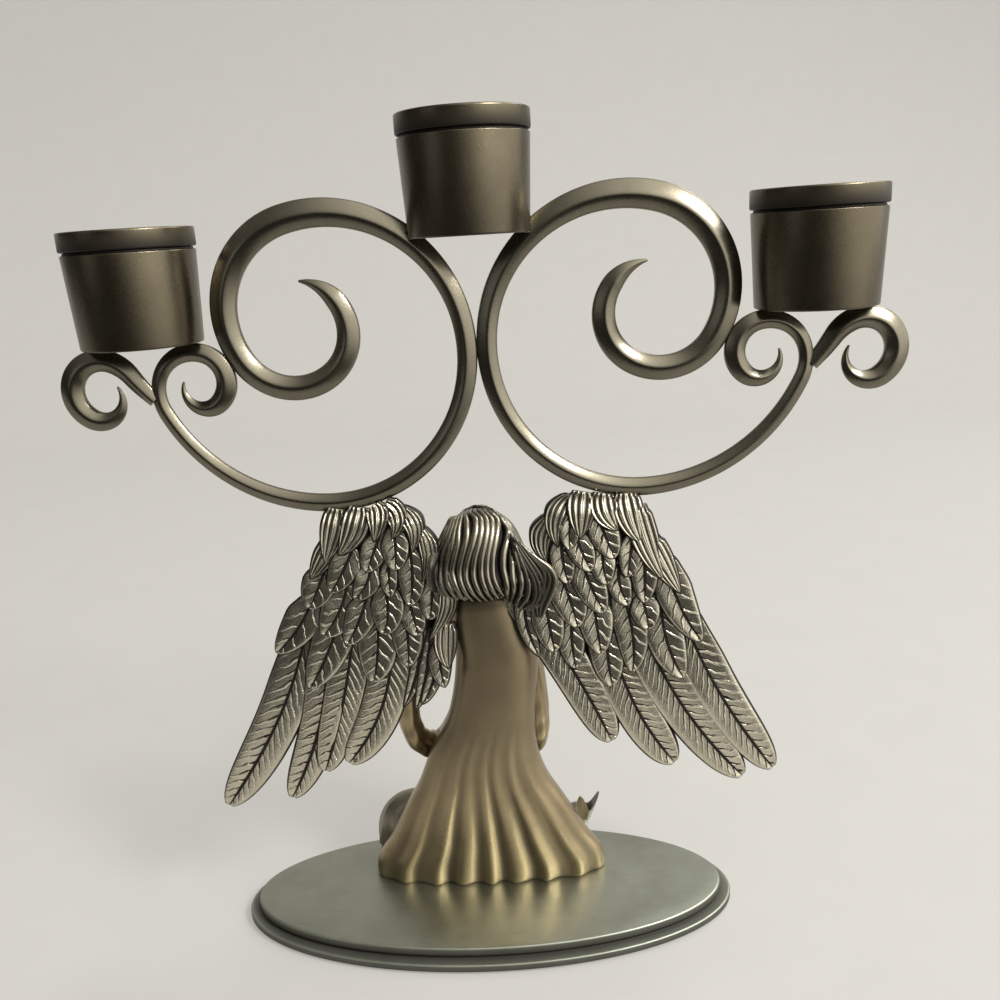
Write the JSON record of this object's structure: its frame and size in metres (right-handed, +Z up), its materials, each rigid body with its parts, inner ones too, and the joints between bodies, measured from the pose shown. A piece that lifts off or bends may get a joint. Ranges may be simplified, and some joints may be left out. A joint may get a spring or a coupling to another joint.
{
  "type": "angel candelabra",
  "caption": "Metal angel candelabra: a robed figure on an oval base, wings spread behind, with scrolled arms above carrying lift-out tealight cups.",
  "frame": {"origin": "on the surface it stands on, under the middle of the overall width and depth; the centre cup is straight above it, 3 mm behind, and the oval base reaches 10 mm further towards +X", "axes": "+Z up; the figure faces -Y, so its wings and the back of its robe face +Y; +X towards the figure's left hand"},
  "size_m": [0.2922, 0.0826, 0.3],
  "materials": {
    "pewter": "antiqued pewter, brushed",
    "dark_pewter": "antiqued pewter with blackened recesses",
    "cup_pewter": "brushed pewter with a warm lacquer",
    "base_pewter": "straight-brushed pewter",
    "felt": "felt",
    "screw_steel": "zinc plated"
  },
  "bodies": {
    "candelabra": {"base_plate": "base_pewter", "base_felt": "felt", "left_base_screw": "screw_steel", "right_base_screw": "screw_steel", "mantle": "pewter", "gown": "pewter", "left_sleeve": "pewter", "right_sleeve": "pewter", "hands": "pewter", "head": "pewter", "hair": "dark_pewter", "knee_drape": "pewter", "lily": "pewter", "left_wing": "dark_pewter", "right_wing": "dark_pewter", "left_scroll": "pewter", "right_scroll": "pewter", "left_side_curl": "pewter", "right_side_curl": "pewter", "centre_cup": "cup_pewter", "left_cup": "cup_pewter", "right_cup": "cup_pewter"},
    "centre_candle_insert": {"centre_insert": "cup_pewter"},
    "left_candle_insert": {"left_insert": "cup_pewter"},
    "right_candle_insert": {"right_insert": "cup_pewter"}
  },
  "joints": [
    {"name": "centre_insert_lift", "type": "slide", "parent": "candelabra", "child": "centre_candle_insert", "axis": [0, 0, 1], "range_m": [0, 0.03]},
    {"name": "left_insert_lift", "type": "slide", "parent": "candelabra", "child": "left_candle_insert", "axis": [0, 0, 1], "range_m": [0, 0.03]},
    {"name": "right_insert_lift", "type": "slide", "parent": "candelabra", "child": "right_candle_insert", "axis": [0, 0, 1], "range_m": [0, 0.03]}
  ]
}
